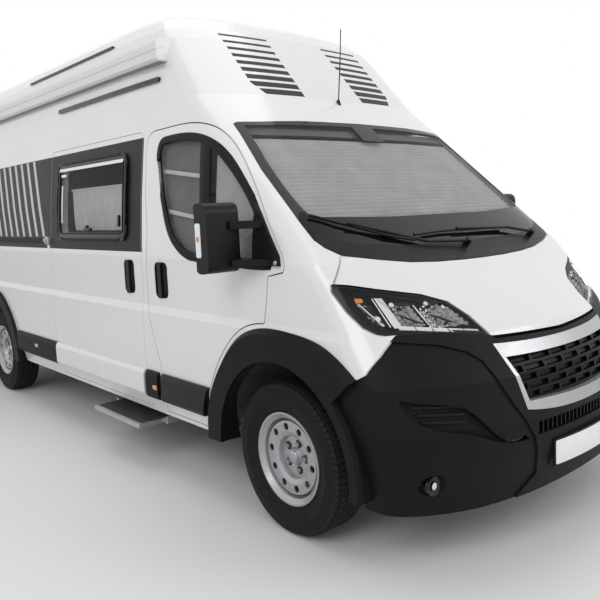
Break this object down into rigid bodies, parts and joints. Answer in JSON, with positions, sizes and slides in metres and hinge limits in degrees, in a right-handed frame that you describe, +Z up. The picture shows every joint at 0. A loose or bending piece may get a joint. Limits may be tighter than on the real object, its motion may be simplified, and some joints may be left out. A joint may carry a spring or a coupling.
{
  "type": "camper van",
  "caption": "High-roofed long panel van fitted out as a camper, with opening doors, steered front wheels, a roof awning and a sliding entry step.",
  "frame": {"origin": "on the ground, below the centre of the bounding box", "axes": "+X forward, the direction of travel; +Y to the vehicle's left; +Z up"},
  "size_m": [5.9986, 2.472, 2.7659],
  "materials": {
    "white_paint": "gloss white",
    "clear_glass": "clear",
    "tinted_glass": "dark tinted",
    "black_plastic": "grained",
    "grey_plastic": "moulded in colour",
    "silver_trim": "satin silver",
    "lamp_lens": "clear lens",
    "chassis_paint": "satin black",
    "engine_metal": "cast",
    "tyre_rubber": "black rubber",
    "wheel_silver": "silver lacquer",
    "mirror_face": "silvered",
    "seat_fabric": "woven charcoal",
    "blind_fabric": "pleated light grey",
    "furniture": "light laminate",
    "roof_gear": "dark",
    "step_metal": "ribbed"
  },
  "bodies": {
    "body": {"cab_frame": "white_paint", "front_wings": "white_paint", "side_panel_left": "white_paint", "side_panel_right": "white_paint", "sliding_door": "white_paint", "high_roof": "white_paint", "roof_cap": "white_paint", "windscreen": "clear_glass", "camper_windows": "tinted_glass", "cowl": "black_plastic", "grille": "black_plastic", "lamp_bowls": "black_plastic", "dashboard": "black_plastic", "front_bumper": "grey_plastic", "rear_bumper": "grey_plastic", "side_mouldings": "grey_plastic", "grille_surround": "silver_trim", "awning": "silver_trim", "lamps": "lamp_lens", "floor": "chassis_paint", "wheelhouses": "chassis_paint", "rear_axle": "chassis_paint", "front_subframe": "chassis_paint", "underbody": "chassis_paint", "engine": "engine_metal", "cab_seats": "seat_fabric", "windscreen_blind": "blind_fabric", "living_space": "furniture", "roof_fittings": "roof_gear", "step_frame": "step_metal"},
    "front_door_right": {"front_door_right": "white_paint", "front_door_glass_right": "clear_glass", "front_door_fittings_right": "black_plastic", "mirror_glass_right": "mirror_face"},
    "front_door_left": {"front_door_left": "white_paint", "front_door_glass_left": "clear_glass", "front_door_fittings_left": "black_plastic", "mirror_glass_left": "mirror_face"},
    "rear_door_right": {"rear_door_right": "white_paint", "rear_door_glass_right": "tinted_glass"},
    "rear_door_left": {"rear_door_left": "white_paint", "rear_door_glass_left": "tinted_glass"},
    "bonnet": {"bonnet": "white_paint"},
    "front_knuckle_right": {"front_knuckle_right": "chassis_paint"},
    "front_knuckle_left": {"front_knuckle_left": "chassis_paint"},
    "step_tread": {"step_tread": "step_metal"},
    "wheel_front_right": {"tyre_front_right": "tyre_rubber", "rim_front_right": "wheel_silver"},
    "wheel_front_left": {"tyre_front_left": "tyre_rubber", "rim_front_left": "wheel_silver"},
    "wheel_rear_right": {"tyre_rear_right": "tyre_rubber", "rim_rear_right": "wheel_silver"},
    "wheel_rear_left": {"tyre_rear_left": "tyre_rubber", "rim_rear_left": "wheel_silver"}
  },
  "joints": [
    {"name": "front_door_right_hinge", "type": "hinge", "parent": "body", "child": "front_door_right", "pos_m": [1.99, -1.02, 0.9], "axis": [0, 0, 1], "range_deg": [0, 65]},
    {"name": "front_door_left_hinge", "type": "hinge", "parent": "body", "child": "front_door_left", "pos_m": [1.99, 1.02, 0.9], "axis": [0, 0, -1], "range_deg": [0, 65]},
    {"name": "rear_door_right_hinge", "type": "hinge", "parent": "body", "child": "rear_door_right", "pos_m": [-2.985, -0.905, 1.4], "axis": [0, 0, 1], "range_deg": [0, 180]},
    {"name": "rear_door_left_hinge", "type": "hinge", "parent": "body", "child": "rear_door_left", "pos_m": [-2.985, 0.905, 1.4], "axis": [0, 0, -1], "range_deg": [0, 180]},
    {"name": "bonnet_hinge", "type": "hinge", "parent": "body", "child": "bonnet", "pos_m": [2.31, 0, 1.345], "axis": [0, -1, 0], "range_deg": [0, 50]},
    {"name": "steering_right", "type": "hinge", "parent": "body", "child": "front_knuckle_right", "pos_m": [2.051, -0.775, 0.362], "axis": [0, 0, 1], "range_deg": [-33, 33]},
    {"name": "steering_left", "type": "hinge", "parent": "body", "child": "front_knuckle_left", "pos_m": [2.051, 0.775, 0.362], "axis": [0, 0, 1], "range_deg": [-33, 33]},
    {"name": "wheel_front_right_spin", "type": "hinge", "parent": "front_knuckle_right", "child": "wheel_front_right", "pos_m": [2.051, -0.905, 0.362], "axis": [0, 1, 0], "continuous": true},
    {"name": "wheel_front_left_spin", "type": "hinge", "parent": "front_knuckle_left", "child": "wheel_front_left", "pos_m": [2.051, 0.905, 0.362], "axis": [0, 1, 0], "continuous": true},
    {"name": "wheel_rear_right_spin", "type": "hinge", "parent": "body", "child": "wheel_rear_right", "pos_m": [-1.984, -0.895, 0.362], "axis": [0, 1, 0], "continuous": true},
    {"name": "wheel_rear_left_spin", "type": "hinge", "parent": "body", "child": "wheel_rear_left", "pos_m": [-1.984, 0.895, 0.362], "axis": [0, 1, 0], "continuous": true},
    {"name": "step_slide", "type": "slide", "parent": "body", "child": "step_tread", "axis": [0, 1, 0], "range_m": [0, 0.28]}
  ],
  "couplings": [
    {"joint": "steering_left", "follows": "steering_right", "ratio": 1}
  ]
}
